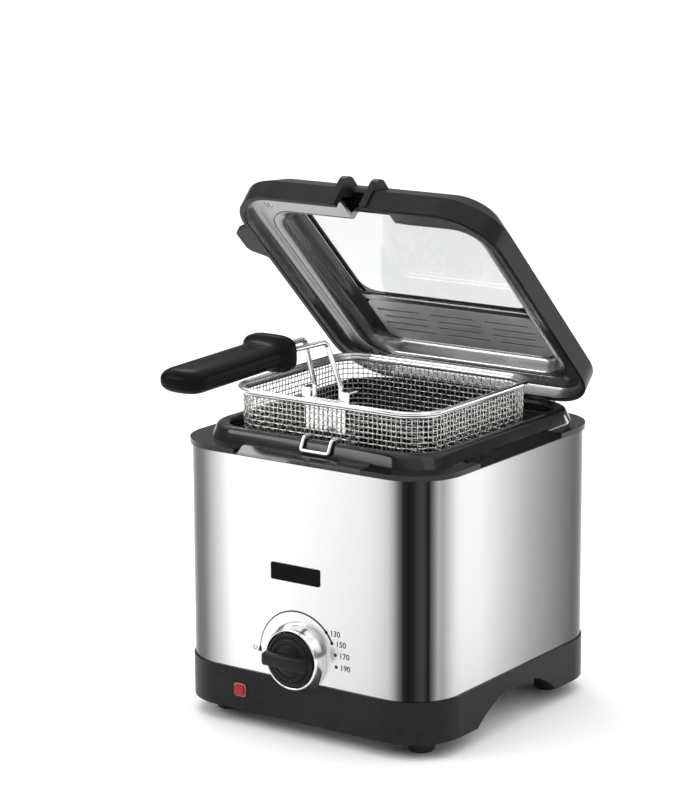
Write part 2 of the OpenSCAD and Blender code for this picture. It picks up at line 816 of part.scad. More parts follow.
module basket_floor_wires() {
    r = 1.3;
    w = mesh_w - 16;
    d = mesh_d - 16;
    color(bright) translate([0, basket_y, basket_floor - r]) {
        wire_loop(w, d, mesh_r - 4, r);
        // thinner than the loop they end in
        for (x = [-40, 0, 40]) translate([x, d / 2, 0]) rotate([90, 0, 0]) cylinder(h = d, r = r - 0.3);
    }
}

module basket_bracket() {
    t = bracket_t;
    plate_w = 31;
    plate_h = 44;
    ear_x = 15.4;
    ear_w = 6.4;
    ear_h = 8;
    color(bright) translate([0, bracket_y + flap_y, basket_rim_z]) {
        translate([-plate_w / 2, 0, -plate_h]) cube([plate_w, t, plate_h + 2]);
        // two ears beside the wires' feet, folded inwards
        for (s = [-1, 1]) translate([s * ear_x - ear_w / 2, 0, 0]) {
            cube([ear_w, t, ear_h]);
            translate([0, 0, ear_h - t]) cube([ear_w, 10, t]);
        }
    }
}

module handle_wires() {
    y0 = bracket_y + flap_y + bracket_t + wire_r;
    enter = wire_gap / 2;
    color(bright) for (s = [-1, 1]) wire([
        [s * foot_x, y0, basket_rim_z - 8], [s * foot_x, y0, basket_rim_z + 10],
        [s * bend_x, bend_y, bend_z], [s * enter, grip_y, grip_z],
        [s * enter, grip_y - 40, grip_z - 40 * tan(grip_tilt)]], wire_r, 6);
}

// along the grip from its root: +Z towards the tip, +Y upwards
module at_grip() {
    translate([0, grip_y, grip_z]) rotate([90 + grip_tilt, 0, 0]) children();
}

module grip_half(side) {
    guard_l = 7;
    nose = 7;
    half_gap = 0.05;
    head_z = 4.8;
    color(black) at_grip() difference() {
        union() {
            linear_extrude(grip_l - nose) rounded(grip_w, grip_t, 7);
            linear_extrude(grip_l) rounded(grip_w - 7, grip_t - 4.5, 4.5);
            linear_extrude(guard_l) rounded(guard_w, guard_t, 9);
            linear_extrude(guard_l + 4) rounded(guard_w - 3, guard_t - 4, 8);
        }
        translate([-50, side > 0 ? half_gap - 50 : -half_gap, -1]) cube([100, 50, grip_l + 2]);
        for (s = [-1, 1]) translate([s * wire_gap / 2, 0, -1]) cylinder(h = 44, r = wire_r + 0.15);
        for (z = grip_screw_at) translate([0, -10, z]) rotate([-90, 0, 0]) {
            cylinder(h = 15, r = 1.6);
            if (side < 0) cylinder(h = 10 - head_z, r = 3.2);
        }
    }
}

module grip_upper() { grip_half(1); }

module grip_lower() { grip_half(-1); }

module grip_screws() {
    color(steel) at_grip() for (z = grip_screw_at) translate([0, 0, z]) rotate([-90, 0, 0]) {
        translate([0, 0, -6.8]) cylinder(h = 2, r = 3);
        translate([0, 0, -6]) cylinder(h = 10, r = 1.5);
    }
}

base_skirt();
bottom_plate();
rubber_feet();
foot_screws();
steel_wrap();
tie_bolts();
top_collar();
rim_ring();
oil_pot();
drain_hook();
heating_element();
element_clamps();
heat_shield();
thermal_cutout();
thermostat_body();
thermostat_bracket();
capillary_tube();
terminal_block();
wiring();
cord_gland();
knob_bezel();
lamp_bezel();
lamp_lens();
lamp_body();
name_plate();
hinge_pins();
thermostat_shaft();
control_knob();
lid_shell();
lid_inner_frame();
window_glass();
window_gasket();
filter_cover();
filter_pad();
lid_screws();
hinge_knuckles();
basket_mesh();
basket_rim();
basket_floor_wires();
basket_bracket();
handle_wires();
grip_upper();
grip_lower();
grip_screws();
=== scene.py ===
"""Looks of the deep fryer: materials, woven basket, grip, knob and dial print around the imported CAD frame."""
import json
from math import cos, pi, radians, sin, sqrt, tan

import bpy
from mathutils import Matrix, Vector


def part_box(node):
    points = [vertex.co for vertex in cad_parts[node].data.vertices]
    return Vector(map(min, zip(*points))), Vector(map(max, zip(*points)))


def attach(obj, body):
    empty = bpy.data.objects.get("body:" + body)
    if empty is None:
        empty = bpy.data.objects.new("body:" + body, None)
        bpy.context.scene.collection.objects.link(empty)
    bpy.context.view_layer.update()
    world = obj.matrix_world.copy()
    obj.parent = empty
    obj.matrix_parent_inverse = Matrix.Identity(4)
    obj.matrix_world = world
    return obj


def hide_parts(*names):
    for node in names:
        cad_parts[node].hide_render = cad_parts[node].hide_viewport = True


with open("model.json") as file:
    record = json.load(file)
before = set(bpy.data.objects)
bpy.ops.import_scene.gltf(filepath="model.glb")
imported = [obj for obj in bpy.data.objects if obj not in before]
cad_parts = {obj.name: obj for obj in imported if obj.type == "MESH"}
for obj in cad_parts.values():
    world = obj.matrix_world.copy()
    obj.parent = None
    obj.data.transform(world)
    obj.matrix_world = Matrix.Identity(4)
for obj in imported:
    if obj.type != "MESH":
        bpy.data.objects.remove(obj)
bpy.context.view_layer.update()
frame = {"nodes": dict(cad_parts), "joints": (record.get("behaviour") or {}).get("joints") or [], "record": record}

MM = 0.001
scene = bpy.context.scene
JOINTS = {joint["name"]: joint for joint in frame["joints"]}
SLOTS = {part["node"]: part["material_slot"] for part in frame["record"]["subparts"]}
# the lid's hinge and the knob's shaft
PIVOT = Vector(JOINTS["lid_hinge"]["pos_m"])
KNOB_AXIS = Vector(JOINTS["knob_turn"]["pos_m"])


# ---------------------------------------------------------------- node materials


def new_material(name, **inputs):
    """A Principled material; the keyword names are the shader's socket names with _ for a space."""
    material = bpy.data.materials.new(name)
    material.use_nodes = True
    shader = material.node_tree.nodes["Principled BSDF"]
    for key, value in inputs.items():
        shader.inputs[key.replace("_", " ")].default_value = value
    return material, material.node_tree, shader


def place(tree, stretch=(1, 1, 1), turn=(0, 0, 0)):
    """Object coordinates, in metres, stretched and turned."""
    coordinates = tree.nodes.new("ShaderNodeTexCoord")
    mapping = tree.nodes.new("ShaderNodeMapping")
    mapping.inputs["Scale"].default_value = stretch
    mapping.inputs["Rotation"].default_value = turn
    tree.links.new(coordinates.outputs["Object"], mapping.inputs["Vector"])
    return mapping.outputs["Vector"]


def noise(tree, scale, detail=3.0, rough=0.55, stretch=(1, 1, 1), turn=(0, 0, 0)):
    """Soft cloudy noise; scale is the number of blobs in a metre."""
    node = tree.nodes.new("ShaderNodeTexNoise")
    node.inputs["Scale"].default_value = scale
    node.inputs["Detail"].default_value = detail
    node.inputs["Roughness"].default_value = rough
    tree.links.new(place(tree, stretch, turn), node.inputs["Vector"])
    return node.outputs["Fac"]


def cells(tree, scale):
    """Distance from the middle of each cell; scale is the number of cells in a metre."""
    node = tree.nodes.new("ShaderNodeTexVoronoi")
    node.inputs["Scale"].default_value = scale
    tree.links.new(place(tree), node.inputs["Vector"])
    return node.outputs["Distance"]


def spread(tree, value, low, high, start=0.3, end=0.7):
    """The value, from start to end, carried to low to high."""
    node = tree.nodes.new("ShaderNodeMapRange")
    for socket, number in (("From Min", start), ("From Max", end), ("To Min", low), ("To Max", high)):
        node.inputs[socket].default_value = number
    tree.links.new(value, node.inputs["Value"])
    return node.outputs["Result"]


def ramp(tree, value, dark, light, start=0.3, end=0.7):
    """The value, from start to end, carried to a colour from dark to light."""
    node = tree.nodes.new("ShaderNodeValToRGB")
    first, last = node.color_ramp.elements
    first.position, last.position = start, end
    first.color, last.color = (*dark, 1), (*light, 1)
    tree.links.new(value, node.inputs["Fac"])
    return node.outputs["Color"]


def many_ramp(tree, value, stops):
    """The value carried to a colour through the stops, each of which is a position and a colour."""
    node = tree.nodes.new("ShaderNodeValToRGB")
    points = node.color_ramp.elements
    while len(points) < len(stops):
        points.new(0.5)
    # all places first, because a point that moves past another one changes their order
    for point, (position, _) in zip(points, stops):
        point.position = position
    for point, (_, colour) in zip(points, stops):
        point.color = (*colour, 1)
    tree.links.new(value, node.inputs["Fac"])
    return node


def maths(tree, operation, first, second):
    """A Math node; each operand is an output to link or a number."""
    node = tree.nodes.new("ShaderNodeMath")
    node.operation = operation
    for socket, value in zip(node.inputs, (first, second)):
        if isinstance(value, (int, float)):
            socket.default_value = value
        else:
            tree.links.new(value, socket)
    return node.outputs["Value"]


def mixed(tree, blend, share, first, second):
    """A colour Mix node; the share is an output to link or a number."""
    node = tree.nodes.new("ShaderNodeMix")
    node.data_type = "RGBA"
    node.blend_type = blend
    # a Mix node has sockets for every data type: 0 is the share, and 6, 7 and output 2 are colours
    if isinstance(share, (int, float)):
        node.inputs[0].default_value = share
    else:
        tree.links.new(share, node.inputs[0])
    tree.links.new(first, node.inputs[6])
    tree.links.new(second, node.inputs[7])
    return node.outputs[2]


def bump(tree, shader, height, strength, distance):
    """Small relief in the surface, as tall as the distance where the strength is 1."""
    node = tree.nodes.new("ShaderNodeBump")
    node.inputs["Strength"].default_value = strength
    node.inputs["Distance"].default_value = distance
    tree.links.new(height, node.inputs["Height"])
    tree.links.new(node.outputs["Normal"], shader.inputs["Normal"])


def grained(name, dark, light, rough, mottle, grain, strength, relief=0.04, stretch=(1, 1, 1), **inputs):
    """Colour and roughness drift with a mottle, and a fine grain stands up from the surface."""
    material, tree, shader = new_material(name, **inputs)
    drift = noise(tree, mottle, 4, stretch=stretch)
    fine = noise(tree, grain, 2, stretch=stretch)
    tree.links.new(ramp(tree, drift, dark, light), shader.inputs["Base Color"])
    wear = maths(tree, "ADD", spread(tree, drift, *rough), spread(tree, fine, -0.03, 0.03))
    tree.links.new(wear, shader.inputs["Roughness"])
    bump(tree, shader, fine, strength, relief * MM)
    return material


# painted reflection: the polished wrap's base colour at each angle round the body, with light and dark upright
# bands painted in for studio reflections: degrees from +X, share of the brightest grey
PAINTED_REFLECTION_PEAK = 0.78
FRONT_PAINTED_REFLECTIONS = (
    (-135, 0.12), (-130.6, 0.06), (-126, 0.18), (-123, 0.46), (-119, 0.78), (-116, 0.97), (-100, 0.96),
    (-92, 0.90), (-75, 0.82), (-63, 0.75), (-58.5, 0.66), (-55.5, 0.52), (-53.6, 0.17), (-52, 0.02),
    (-50.2, 0.006), (-48.4, 0.026), (-47.1, 0.063), (-46, 0.04), (-45, 0.007), (-44, 0.01), (-42.7, 0.50),
    (-41.6, 0.28), (-38.9, 0.54), (-36, 0.82), (-33, 0.90), (-24, 0.875), (-10, 0.64), (8, 0.385),
    (25, 0.212), (34, 0.10), (40, 0.04),
)
# painted reflection bands round the back of the body, in the same columns
REAR_PAINTED_REFLECTIONS = (
    (-180, 0.62), (-160, 0.78), (-148, 0.50), (-139, 0.25), (-135, 0.12), (40, 0.05), (46, 0.04), (52, 0.35),
    (60, 0.70), (90, 0.85), (118, 0.70), (128, 0.30), (133, 0.06), (140, 0.10), (146, 0.50), (165, 0.70),
    (180, 0.62),
)


def share_of_turn(angle):
    """0 to 1 for an angle from -180 to 180 degrees."""
    return (angle + 180) / 360


def painted_reflection_bands(tree, turn, stops):
    """Painted reflection bands: a steel grey that follows the stops as turn goes once round, from 0 to 1."""
    greys = [(share_of_turn(angle), PAINTED_REFLECTION_PEAK * share) for angle, share in stops]
    node = many_ramp(tree, turn, [(position, (grey, grey, grey * 1.005)) for position, grey in greys])
    return node.outputs["Color"]


def steel_shell():
    """Mirror-bright stainless sheet with upright bands of painted reflection in its base colour, a light brush and
    faint handling marks.
    """
    material, tree, shader = new_material("steel_shell", Metallic=1.0, Anisotropic=0.35)
    split = tree.nodes.new("ShaderNodeSeparateXYZ")
    tree.links.new(place(tree), split.inputs[0])
    angle = maths(tree, "ARCTAN2", split.outputs["Y"], split.outputs["X"])
    turn = maths(tree, "ADD", maths(tree, "MULTIPLY", angle, 0.5 / pi), 0.5)
    # painted reflection: light and dark upright bands by angle round the body, set into the base colour
    front = painted_reflection_bands(tree, turn, FRONT_PAINTED_REFLECTIONS)
    rear = painted_reflection_bands(tree, turn, REAR_PAINTED_REFLECTIONS)
    past_front = maths(tree, "GREATER_THAN", turn, share_of_turn(FRONT_PAINTED_REFLECTIONS[-1][0]))
    before_front = maths(tree, "LESS_THAN", turn, share_of_turn(FRONT_PAINTED_REFLECTIONS[0][0]))
    painted_reflection = mixed(tree, "MIX", maths(tree, "ADD", past_front, before_front), front, rear)
    lines = noise(tree, 90, 4, 0.7, stretch=(0.35, 0.35, 26))
    fine = noise(tree, 260, 3, 0.7, stretch=(0.3, 0.3, 22))
    smudge = noise(tree, 14, 3)
    brushed = ramp(tree, lines, (0.95, 0.95, 0.95), (1, 1, 1))
    tree.links.new(mixed(tree, "MULTIPLY", 1.0, painted_reflection, brushed), shader.inputs["Base Color"])
    rough = maths(tree, "ADD", spread(tree, smudge, 0.20, 0.26), spread(tree, fine, -0.03, 0.03))
    tree.links.new(rough, shader.inputs["Roughness"])
    bump(tree, shader, fine, 0.04, 0.02 * MM)
    return material


def nonstick():
    """Dark non-stick coating with a fine light fleck."""
    material, tree, shader = new_material("nonstick", Metallic=0.25, Coat_Weight=0.25, Coat_Roughness=0.3)
    fleck = cells(tree, 900)
    colour = ramp(tree, fleck, (0.09, 0.09, 0.09), (0.018, 0.018, 0.019), 0.05, 0.2)
    tree.links.new(colour, shader.inputs["Base Color"])
    tree.links.new(spread(tree, noise(tree, 60, 3), 0.34, 0.46), shader.inputs["Roughness"])
    bump(tree, shader, fleck, 0.15, 0.05 * MM)
    return material


def clear_glass():
    """Tempered glass with a trace of grease and dust on it."""
    material, tree, shader = new_material("glass", Transmission_Weight=1.0, IOR=1.35)
    film = noise(tree, 22, 4)
    tree.links.new(ramp(tree, film, (0.69, 0.705, 0.70), (0.74, 0.75, 0.745)), shader.inputs["Base Color"])
    tree.links.new(spread(tree, film, 0.0, 0.05), shader.inputs["Roughness"])
    bump(tree, shader, noise(tree, 9, 1), 0.02, 0.2 * MM)
    return material


def red_lens():
    """Red lamp cover with small prisms moulded in."""
    material, tree, shader = new_material(
        "red_lens", Transmission_Weight=0.1, IOR=1.49, Specular_IOR_Level=0.3)
    prisms = cells(tree, 1100)
    colour = ramp(tree, prisms, (0.55, 0.006, 0.006), (0.32, 0.003, 0.003), 0.1, 0.6)
    tree.links.new(colour, shader.inputs["Base Color"])
    tree.links.new(spread(tree, prisms, 0.12, 0.24), shader.inputs["Roughness"])
    bump(tree, shader, prisms, 0.35, 0.15 * MM)
    return material


def filter_felt():
    """Pressed metal wool behind the vents."""
    material, tree, shader = new_material("filter_felt", Metallic=0.6)
    strands = noise(tree, 700, 5, 0.75, stretch=(1, 3, 1), turn=(0, 0, 0.6))
    tree.links.new(ramp(tree, strands, (0.06, 0.06, 0.065), (0.42, 0.42, 0.43)), shader.inputs["Base Color"])
    tree.links.new(spread(tree, strands, 0.35, 0.6), shader.inputs["Roughness"])
    bump(tree, shader, strands, 0.8, 0.4 * MM)
    return material


def liner():
    """Smooth dark anodised sheet inside the lid, with faint wipe marks."""
    material, tree, shader = new_material("liner", Metallic=0.9)
    drift = noise(tree, 18, 3)
    fine = noise(tree, 900, 2)
    tree.links.new(ramp(tree, drift, (0.30, 0.30, 0.30), (0.36, 0.36, 0.355)), shader.inputs["Base Color"])
    rough = maths(tree, "ADD", spread(tree, drift, 0.20, 0.27), spread(tree, fine, -0.02, 0.02))
    tree.links.new(rough, shader.inputs["Roughness"])
    bump(tree, shader, fine, 0.06, 0.02 * MM)
    return material


def studio_floor():
    """Matte white paper."""
    material, tree, shader = new_material("floor")
    drift = noise(tree, 3, 2)
    tree.links.new(ramp(tree, drift, (0.93, 0.93, 0.93), (0.96, 0.96, 0.96)), shader.inputs["Base Color"])
    tree.links.new(spread(tree, drift, 0.75, 0.85), shader.inputs["Roughness"])
    return material


def black_finishes():
    """Plastics and rubbers, from the wet-looking rim to the matte feet."""
    black = (0.009, 0.009, 0.010)
    charcoal = (0.017, 0.017, 0.019)
    soft_sheen = {"Specular_IOR_Level": 0.12}
    return [
        grained("black_plastic", black, charcoal, (0.26, 0.36), 35, 1500, 0.10, **soft_sheen),
        grained("gloss_black", black, (0.014, 0.014, 0.015), (0.07, 0.12), 28, 1100, 0.03,
                Specular_IOR_Level=0.30),
        grained("lid_black", black, charcoal, (0.28, 0.38), 30, 1300, 0.10, **soft_sheen),
        grained("matte_black", (0.012, 0.012, 0.013), (0.022, 0.022, 0.024), (0.42, 0.54), 40, 1700, 0.22,
                0.06, **soft_sheen),
        grained("grip_black", (0.004, 0.004, 0.0045), (0.007, 0.007, 0.0075), (0.24, 0.32), 55, 1400, 0.10,
                Specular_IOR_Level=0.03),
        grained("rubber", (0.012, 0.012, 0.012), (0.03, 0.03, 0.03), (0.7, 0.85), 90, 1200, 0.35, 0.08),
        grained("gasket", (0.014, 0.014, 0.014), (0.03, 0.03, 0.03), (0.5, 0.62), 70, 900, 0.2),
        grained("print", (0.004, 0.004, 0.004), (0.012, 0.012, 0.012), (0.45, 0.6), 400, 3000, 0.2),
    ]


def metal_finishes():
    """Wires, sheets and fasteners."""
    metal = {"Metallic": 1.0}
    return [
        grained("sheet_steel", (0.42, 0.42, 0.42), (0.58, 0.58, 0.57), (0.32, 0.45), 60, 900, 0.12,
                stretch=(1, 4, 1), **metal),
        grained("chrome_wire", (0.68, 0.68, 0.69), (0.82, 0.82, 0.82), (0.08, 0.15), 90, 700, 0.05, **metal),
        grained("satin_plate", (0.60, 0.60, 0.60), (0.72, 0.72, 0.71), (0.36, 0.46), 60, 900, 0.08,
                Metallic=0.45),
        grained("mesh", (0.52, 0.51, 0.49), (0.78, 0.77, 0.74), (0.18, 0.32), 160, 900, 0.15, **metal),
        grained("fastener", (0.38, 0.38, 0.39), (0.55, 0.55, 0.55), (0.28, 0.4), 300, 2500, 0.15, **metal),
        grained("heater", (0.10, 0.095, 0.09), (0.22, 0.21, 0.2), (0.45, 0.6), 120, 1500, 0.3, **metal),
        grained("copper", (0.50, 0.25, 0.13), (0.66, 0.38, 0.22), (0.25, 0.38), 200, 1500, 0.1, **metal),
    ]


def other_finishes():
    """Ceramic, sleeved wire and the lamp's pink surround."""
    return [
        grained("ceramic", (0.66, 0.63, 0.54), (0.78, 0.75, 0.67), (0.4, 0.5), 80, 1200, 0.12),
        grained("wire_sleeve", (0.22, 0.07, 0.035), (0.36, 0.13, 0.07), (0.55, 0.7), 260, 3000, 0.4,
                stretch=(1, 1, 2)),
        grained("lamp_rim", (0.24, 0.10, 0.09), (0.34, 0.17, 0.16), (0.3, 0.4), 300, 2000, 0.1),
    ]


def make_finishes():
    """One finish for each of the record's slots, and a few that differ from part to part, by name."""
    finishes = [steel_shell(), nonstick(), clear_glass(), red_lens(), filter_felt(), liner()]
    finishes += black_finishes() + metal_finishes() + other_finishes()
    # where a CAD material has the name already, Blender ends the new one's with a dot and a number
    return {finish.name.partition(".")[0]: finish for finish in finishes}


# ---------------------------------------------------------------- mesh building


def add_piece(name, points, faces, body, finish, replaces=()):
    """A new smooth-shaded piece that rides a body and stands for the replaced CAD nodes."""
    mesh = bpy.data.meshes.new(name)
    mesh.from_pydata([tuple(p) for p in points], [], faces)
    mesh.update()
    for polygon in mesh.polygons:
        polygon.use_smooth = True
    mesh.materials.append(FINISH[finish])
    piece = bpy.data.objects.new(name, mesh)
    scene.collection.objects.link(piece)
    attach(piece, body)
    if replaces:
        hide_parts(*replaces)
    return piece


def keep_edges(piece, angle):
    """Edges sharper than the angle, in degrees, stay crisp."""
    piece.data.set_sharp_from_angle(angle=radians(angle))
    return piece


def bevel(piece, width, segments=2, angle=30):
    """A Bevel modifier on edges sharper than the angle, in degrees."""
    edge = piece.modifiers.new("edge", "BEVEL")
    edge.width = width
    edge.segments = segments
    edge.limit_method = "ANGLE"
    edge.angle_limit = radians(angle)
    return edge


def rounded_rectangle(w, d, r, z, y=0.0, steps=14):
    """Points of a rounded rectangle, anticlockwise seen from above."""
    ring = []
    for k, (sx, sy) in enumerate(((1, 1), (-1, 1), (-1, -1), (1, -1))):
        for i in range(steps + 1):
            a = (k + i / steps) * pi / 2
            ring.append(Vector((sx * (w / 2 - r) + r * cos(a), y + sy * (d / 2 - r) + r * sin(a), z)))
    return ring


def skin(rows, loop=False):
    """Points and faces through rows of equally many points; each row is closed on itself."""
    n = len(rows[0])
    points = [p for row in rows for p in row]
    faces = []
    for i in range(len(rows) - (0 if loop else 1)):
        j = (i + 1) % len(rows)
        for k in range(n):
            m = (k + 1) % n
            faces.append((i * n + k, i * n + m, j * n + m, j * n + k))
    if not loop:
        faces.append(tuple(range(n - 1, -1, -1)))
        faces.append(tuple((len(rows) - 1) * n + k for k in range(n)))
    return points, faces


def circle(x, y, r, steps):
    """(x, y) points round a circle."""
    return [(x + r * cos(2 * pi * k / steps), y + r * sin(2 * pi * k / steps)) for k in range(steps)]


def turned(profile, steps=72):
    """Rows of circles for a profile of (radius, height), in mm, about the local Z axis."""
    return [[Vector((x, y, h)) * MM for x, y in circle(0, 0, r, steps)] for r, h in profile]


def facing_front(rows, origin):
    """Local Z turned to point forwards, with local Y up."""
    return [[Vector((origin.x + p.x, origin.y - p.z, origin.z + p.y)) for p in row] for row in rows]


def rounded_path(corners, bend, steps):
    """A path through the corners with each inner one rounded to the bend radius."""
    path = [corners[0]]
    for before, corner, after in zip(corners, corners[1:], corners[2:]):
        u = (corner - before).normalized()
        v = (after - corner).normalized()
        turn = u.angle(v)
        centre = corner + (v - u).normalized() * (bend / cos(turn / 2))
        arm = corner - u * bend * tan(turn / 2) - centre
        axis = u.cross(v).normalized()
        for i in range(steps + 1):
            path.append(centre + Matrix.Rotation(turn * i / steps, 3, axis) @ arm)
    path.append(corners[-1])
    return path


def wire_rows(path, radius, sides, closed=False):
    """Rings of points about a path, carried along it without twisting."""
    count = len(path)
    rows = []
    side = None
    for i, p in enumerate(path):
        ahead = path[(i + 1) % count] if closed or i + 1 < count else p
        behind = path[i - 1] if closed or i > 0 else p
        t = (ahead - behind).normalized()
        if side is None:
            side = t.orthogonal()
        side = (side - t * side.dot(t)).normalized()
        up = t.cross(side)
        rows.append([p + side * x + up * y for x, y in circle(0, 0, radius, sides)])
    return rows


def add_wire(name, path, radius, body, replaces, sides):
    """A bright round wire along a path."""
    points, faces = skin(wire_rows(path, radius, sides))
    return keep_edges(add_piece(name, points, faces, body, "chrome_wire", replaces), 60)


class Bundle:
    """Several skins gathered into one mesh."""

    def __init__(self):
        self.points = []
        self.faces = []

    def add(self, points, faces):
        start = len(self.points)
        self.points.extend(points)
        self.faces.extend(tuple(start + k for k in face) for face in faces)


# ---------------------------------------------------------------- CAD nodes


# finishes that differ from the one named after the node's slot
NODE_FINISH = {
    "rim_ring": "gloss_black",
    "lid_shell": "lid_black",
    "top_collar": "gloss_black",
    "name_plate": "grip_black",
    "filter_cover": "satin_plate",
}
# width of the rounded edges, in mm
EDGE_WIDTH = {
    "base_skirt": 0.6, "rubber_feet": 0.5, "foot_screws": 0.2, "top_collar": 0.5, "oil_pot": 0.4,
    "name_plate": 0.25, "knob_bezel": 0.3, "lamp_bezel": 0.2, "lamp_lens": 0.5, "cord_gland": 0.5,
    "lid_shell": 0.9, "filter_cover": 0.15, "lid_screws": 0.15, "hinge_knuckles": 0.6,
    "basket_bracket": 0.25, "window_gasket": 0.3, "hinge_pins": 0.2, "terminal_block": 0.4,
    "thermostat_body": 0.5, "bottom_plate": 0.2,
}
# rings whose flat faces stay divided, so that no face bridges the opening
KEEP_FACETS = ("top_collar", "lamp_lens")


def soften(node, width):
    """Moulded and pressed edges get the small radius that the real ones have."""
    piece = frame["nodes"][node]
    weld = piece.modifiers.new("weld", "WELD")
    weld.merge_threshold = 0.004 * MM
    if node not in KEEP_FACETS:
        flat = piece.modifiers.new("flat", "DECIMATE")
        flat.decimate_type = "DISSOLVE"
        flat.angle_limit = radians(0.4)
    bevel(piece, width, angle=38).miter_outer = "MITER_ARC"
    level = piece.modifiers.new("level", "WEIGHTED_NORMAL")
    level.keep_sharp = True


def finish_nodes():
    """Every CAD node gets its finish; the flat window keeps flat shading."""
    for name, piece in frame["nodes"].items():
        piece.data.materials.clear()
        piece.data.materials.append(FINISH[NODE_FINISH.get(name, SLOTS[name])])
        for polygon in piece.data.polygons:
            polygon.use_smooth = name != "window_glass"
            polygon.material_index = 0
    for name, width in EDGE_WIDTH.items():
        soften(name, width * MM)


# ---------------------------------------------------------------- basket


BASKET_CORNER = 22 * MM
# distance between the cloth's wires, a wire's radius, how far it sways over and under, and half the cloth
PITCH = 3.6 * MM
CLOTH_WIRE = 0.42 * MM
SWAY = 0.95 * CLOTH_WIRE
INSET = SWAY + CLOTH_WIRE
CLOTH_SIDES = 5


def rim_path(w, d, r, y):
    """Evenly spaced (point, outward normal) around a rounded rectangle; an even count, near the pitch."""
    straight_x, straight_y, quarter = w - 2 * r, d - 2 * r, r * pi / 2
    length = 2 * (straight_x + straight_y) + 4 * quarter
    count = 2 * round(length / PITCH / 2)
    stations = []
    for i in range(count):
        s = length * i / count
        for k, run in enumerate((straight_y, straight_x, straight_y, straight_x)):
            side = (Vector((1, 0, 0)), Vector((0, 1, 0)), Vector((-1, 0, 0)), Vector((0, -1, 0)))[k]
            along = Vector((-side.y, side.x, 0))
            reach = (w if k % 2 == 0 else d) / 2
            if s <= run:
                stations.append((Vector((0, y, 0)) + side * reach + along * (s - run / 2), side))
                break
            s -= run
            if s <= quarter:
                centre = Vector((0, y, 0)) + side * (reach - r) + along * (run / 2)
                normal = side * cos(s / r) + along * sin(s / r)
                stations.append((centre + normal * r, normal))
                break
            s -= quarter
    return stations


def over(i, j):
    """The way a wire sways where wire i crosses wire j: 1 or -1, by turns."""
    return 1 if (i + j) % 2 == 0 else -1


def weave_rings(cloth, stations, levels):
    """The level wires of the walls, one closed ring at each level."""
    for j, z in enumerate(levels):
        path = []
        for i, (p, n) in enumerate(stations):
            following, _ = stations[(i + 1) % len(stations)]
            path.append(p - n * (SWAY * over(i, j)) + Vector((0, 0, z)))
            path.append((p + following) / 2 + Vector((0, 0, z)))
        cloth.add(*skin(wire_rows(path, CLOTH_WIRE, CLOTH_SIDES, closed=True), loop=True))


def weave_uprights(cloth, stations, levels, low_z, high_z):
    """The upright wires of the walls, from a foot that turns in under the wall to the rim."""
    step = levels[1] - levels[0]
    for i, (p, n) in enumerate(stations):
        path = [p - n * 2.2 * INSET + Vector((0, 0, low_z + INSET)),
                p - n * 0.6 * INSET + Vector((0, 0, low_z + 1.4 * INSET))]
        for j, z in enumerate(levels):
            path.append(p + n * (SWAY * over(i, j)) + Vector((0, 0, z)))
            if z != levels[-1]:
                path.append(p + Vector((0, 0, z + step / 2)))
        path.append(p + Vector((0, 0, high_z)))
        cloth.add(*skin(wire_rows(path, CLOTH_WIRE, CLOTH_SIDES)))


def weave_floor(cloth, w, d, centre_y, z):
    """The floor's wires both ways, which end under the walls."""
    half = Vector((w / 2 - INSET, d / 2 - INSET, 0))
    counts = [round(2 * half.x / PITCH), round(2 * half.y / PITCH)]
    gaps = [2 * half.x / counts[0], 2 * half.y / counts[1]]
    for axis, other in ((0, 1), (1, 0)):
        for i in range(1, counts[other]):
            offset = -half[other] + i * gaps[other]
            # a wire near a corner is cut short by the corner's curve
            spare = abs(offset) - (half[other] - BASKET_CORNER)
            cut = BASKET_CORNER - sqrt(max(0, BASKET_CORNER ** 2 - spare ** 2)) if spare > 0 else 0
            reach = half[axis] - cut
            path = []
            for k in range(2 * counts[axis] + 1):
                along = -half[axis] + k * gaps[axis] / 2
                if abs(along) > reach:
                    continue
                lift = 0 if k % 2 else SWAY * over(i, k // 2) * (1 if axis else -1)
                point = Vector((0, centre_y, z + lift))
                point[axis] += along
                point[other] += offset
                path.append(point)
            if len(path) > 2:
                cloth.add(*skin(wire_rows(path, CLOTH_WIRE, CLOTH_SIDES)))


def woven_basket():
    """Square wire cloth: every wire passes over one crossing wire and under the next."""
    low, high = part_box("basket_mesh")
    centre_y = (low.y + high.y) / 2
    w, d = high.x - low.x - 2 * INSET, high.y - low.y - 2 * INSET
    height = high.z - low.z - INSET
    rows = round(height / PITCH)
    levels = [low.z + INSET + (j + 0.5) * height / rows for j in range(rows)]
    stations = rim_path(w, d, BASKET_CORNER - INSET, centre_y)
    cloth = Bundle()
    weave_rings(cloth, stations, levels)
    weave_uprights(cloth, stations, levels, low.z, high.z)
    weave_floor(cloth, w, d, centre_y, low.z + INSET)
    add_piece("basket_weave", cloth.points, cloth.faces, "basket", "mesh", ["basket_mesh"])


def basket_band():
    """The cloth's top edge is folded into a narrow pressed band under the rim wire."""
    low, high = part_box("basket_mesh")
    w, d = high.x - low.x, high.y - low.y
    centre_y = (low.y + high.y) / 2
    # inset from the cloth's outside and height above its top, in mm
    profile = [(0.1, -3.6), (-0.35, -3.1), (-0.4, -0.8), (-0.1, -0.2),
               (1.3, -0.2), (1.9, -0.8), (1.9, -3.1), (1.6, -3.6)]
    rows = []
    for inset, z in profile:
        r = BASKET_CORNER - inset * MM
        rows.append(rounded_rectangle(w - 2 * inset * MM, d - 2 * inset * MM, r, high.z + z * MM, centre_y))
    points, faces = skin(rows, loop=True)
    keep_edges(add_piece("basket_band", points, faces, "basket", "chrome_wire"), 50)


HANDLE_WIRE = 1.7 * MM
# half the gap between the wires at the grip and where they bend down to the basket
GRIP_GAP = 6.3 * MM
BEND_GAP = 8.6 * MM
